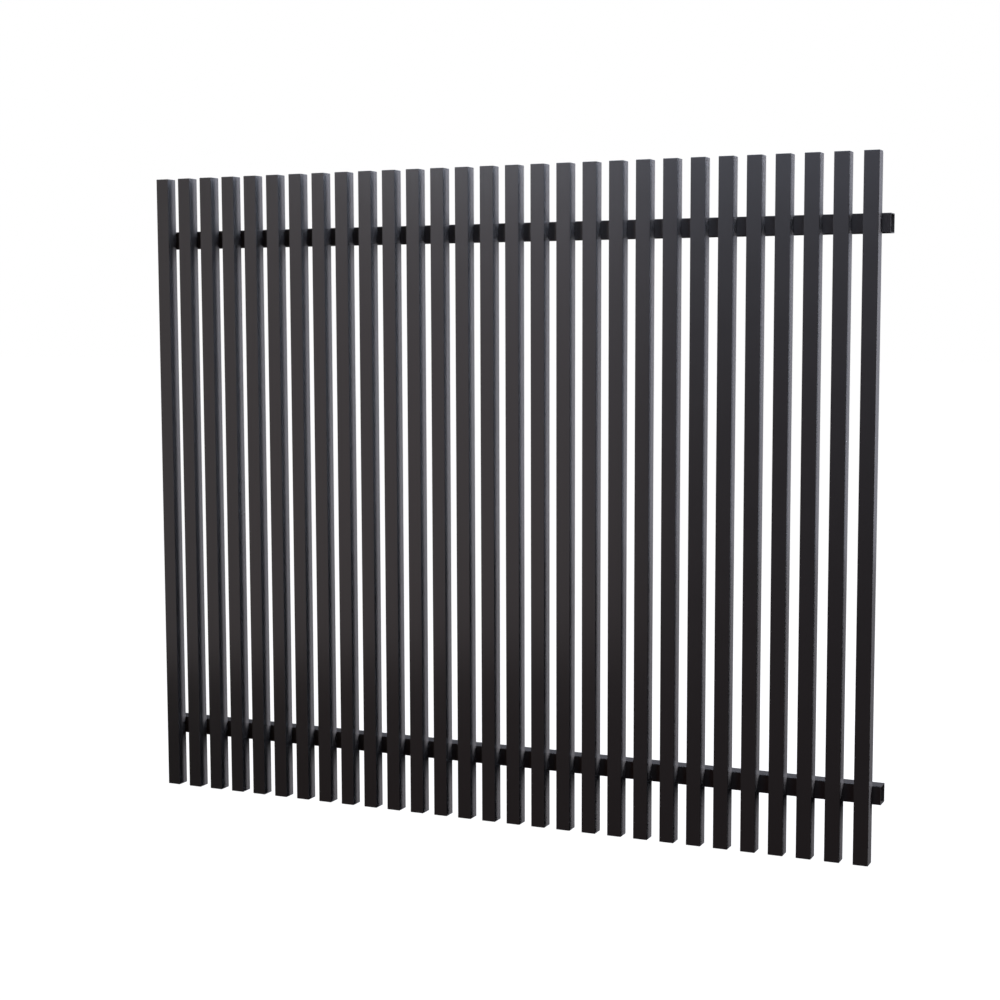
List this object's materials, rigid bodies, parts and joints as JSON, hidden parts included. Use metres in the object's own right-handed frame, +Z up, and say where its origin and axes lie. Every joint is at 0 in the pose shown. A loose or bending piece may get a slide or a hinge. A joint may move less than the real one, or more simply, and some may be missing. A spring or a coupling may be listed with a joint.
{
  "type": "aluminium slat fence panel",
  "caption": "Privacy fence panel of evenly spaced upright square aluminium tube slats on two level tube rails, powder-coated near black, with open rail stubs for fixing between posts.",
  "frame": {"origin": "on the back face of the bottom rail, at its mid height, in the middle of the stub past the left-hand slat", "axes": "+Z up, +X along the rails to the right-hand end, +Y out of the back of the panel, so the slats face -Y"},
  "size_m": [2.212, 0.085, 1.84],
  "materials": {
    "slat_coat": "satin near-black powder coat on extruded tube",
    "rail_coat": "satin near-black powder coat on extruded tube",
    "cap_plastic": "moulded black plastic, fine matt grain"
  },
  "bodies": {
    "root": {"slat_01": "slat_coat", "slat_02": "slat_coat", "slat_03": "slat_coat", "slat_04": "slat_coat", "slat_05": "slat_coat", "slat_06": "slat_coat", "slat_07": "slat_coat", "slat_08": "slat_coat", "slat_09": "slat_coat", "slat_10": "slat_coat", "slat_11": "slat_coat", "slat_12": "slat_coat", "slat_13": "slat_coat", "slat_14": "slat_coat", "slat_15": "slat_coat", "slat_16": "slat_coat", "slat_17": "slat_coat", "slat_18": "slat_coat", "slat_19": "slat_coat", "slat_20": "slat_coat", "slat_21": "slat_coat", "slat_22": "slat_coat", "slat_23": "slat_coat", "slat_24": "slat_coat", "slat_25": "slat_coat", "slat_26": "slat_coat", "slat_27": "slat_coat", "slat_28": "slat_coat", "slat_29": "slat_coat", "bottom_rail": "rail_coat", "top_rail": "rail_coat", "slat_top_caps": "cap_plastic", "slat_bottom_caps": "cap_plastic"}
  },
  "joints": []
}
